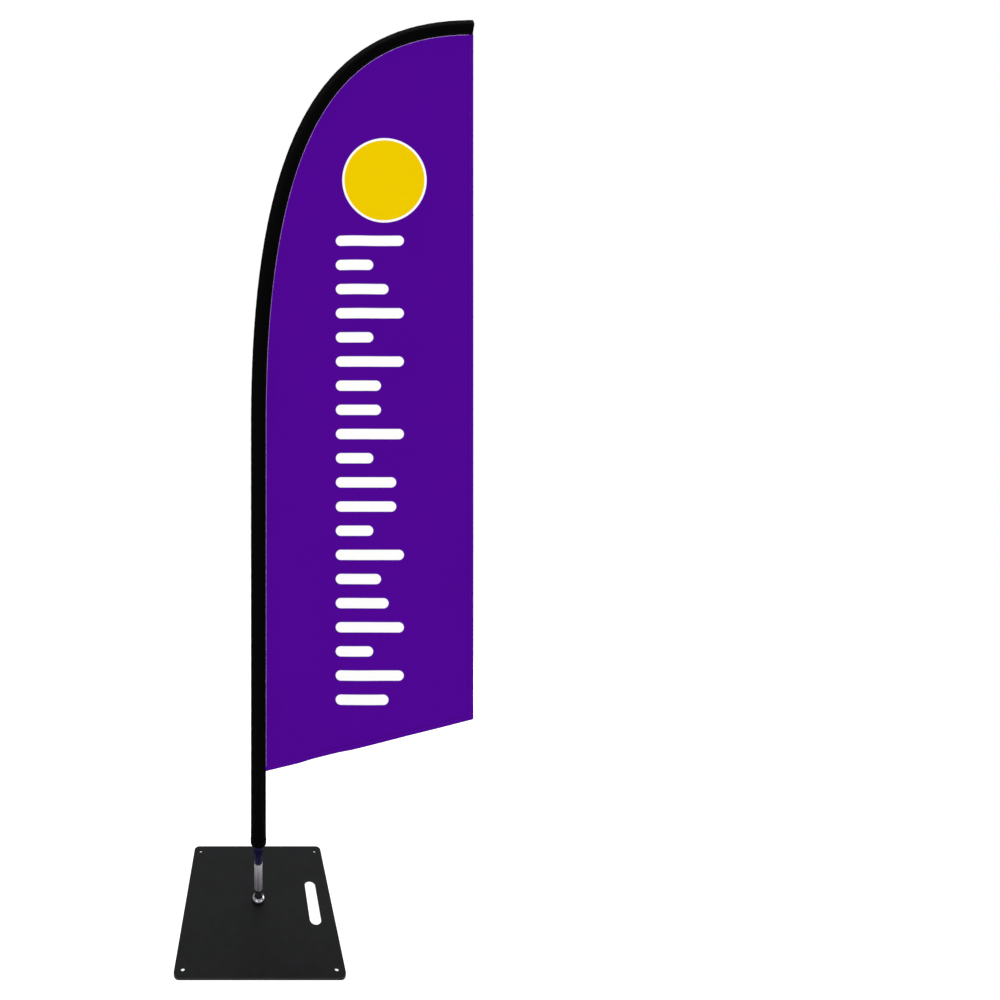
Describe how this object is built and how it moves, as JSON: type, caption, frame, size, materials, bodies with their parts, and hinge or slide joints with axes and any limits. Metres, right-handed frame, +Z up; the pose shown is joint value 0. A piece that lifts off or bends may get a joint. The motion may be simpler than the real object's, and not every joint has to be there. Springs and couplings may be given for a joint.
{
  "type": "feather flag with pole",
  "caption": "Double-sided feather flag on a bent sleeved pole that turns on a ball-bearing spindle, fixed to a square steel plate with a handle slot and peg holes.",
  "frame": {"origin": "on the spindle axis at the underside of the base plate, on the flat head of the axle bolt", "axes": "+Z up along the pole, +X from the pole to the flag's free edge, -Y out of the front face"},
  "size_m": [0.7905, 0.4, 2.4318],
  "materials": {
    "plate": "satin",
    "zinc": "satin",
    "chrome": "polished",
    "black_steel": "satin",
    "steel": "satin",
    "bearing_steel": "polished",
    "cage_nylon": "matte",
    "rubber": "matte",
    "navy": "satin",
    "composite": "satin",
    "aluminium": "satin",
    "plastic": "matte",
    "sleeve": "matte",
    "webbing": "matte",
    "print": "matte",
    "liner": "matte"
  },
  "bodies": {
    "base": {"base_plate": "plate", "axle_bolt": "zinc", "seat_cup": "chrome", "clamp_nut": "black_steel", "bearing_collar": "steel", "lower_inner_race": "bearing_steel", "inner_spacer": "steel", "upper_inner_race": "bearing_steel", "axle_nut": "zinc"},
    "lower_cage": {"lower_ball_cage": "cage_nylon", "lower_ball_1": "bearing_steel", "lower_ball_2": "bearing_steel", "lower_ball_3": "bearing_steel", "lower_ball_4": "bearing_steel", "lower_ball_5": "bearing_steel", "lower_ball_6": "bearing_steel", "lower_ball_7": "bearing_steel"},
    "upper_cage": {"upper_ball_cage": "cage_nylon", "upper_ball_1": "bearing_steel", "upper_ball_2": "bearing_steel", "upper_ball_3": "bearing_steel", "upper_ball_4": "bearing_steel", "upper_ball_5": "bearing_steel", "upper_ball_6": "bearing_steel", "upper_ball_7": "bearing_steel"},
    "rotor": {"spindle_tube": "chrome", "spindle_stub": "chrome", "lower_outer_race": "bearing_steel", "outer_spacer": "steel", "upper_outer_race": "bearing_steel", "retaining_ring": "black_steel", "lower_o_ring": "rubber", "upper_o_ring": "rubber"},
    "lower_pole": {"pole_foot": "navy", "lower_tube": "composite", "lower_ferrule": "aluminium"},
    "middle_pole": {"middle_tube": "composite", "middle_stop_ring": "aluminium", "middle_ferrule": "aluminium"},
    "flag_top": {"tip_rod": "composite", "tip_stop_ring": "aluminium", "tip_cap": "plastic", "sleeve_lower": "sleeve", "sleeve_upper": "sleeve", "tip_pocket": "webbing", "cuff_elastic": "rubber", "front_panel": "print", "blockout_liner": "liner", "back_panel": "print"}
  },
  "joints": [
    {"name": "spindle_spin", "type": "hinge", "parent": "base", "child": "rotor", "pos_m": [0, 0, 0], "axis": [0, 0, 1], "continuous": true},
    {"name": "lower_cage_spin", "type": "hinge", "parent": "base", "child": "lower_cage", "pos_m": [0, 0, 0], "axis": [0, 0, 1], "continuous": true},
    {"name": "upper_cage_spin", "type": "hinge", "parent": "base", "child": "upper_cage", "pos_m": [0, 0, 0], "axis": [0, 0, 1], "continuous": true},
    {"name": "pole_lift", "type": "slide", "parent": "rotor", "child": "lower_pole", "axis": [0, 0, 1], "range_m": [0, 0.091]},
    {"name": "middle_pole_pull", "type": "slide", "parent": "lower_pole", "child": "middle_pole", "axis": [0, 0, 1], "range_m": [0, 0.12]},
    {"name": "tip_pull", "type": "slide", "parent": "middle_pole", "child": "flag_top", "axis": [0, 0, 1], "range_m": [0, 0.12]}
  ],
  "couplings": [
    {"joint": "lower_cage_spin", "follows": "spindle_spin", "ratio": 0.5793},
    {"joint": "upper_cage_spin", "follows": "spindle_spin", "ratio": 0.5793}
  ]
}
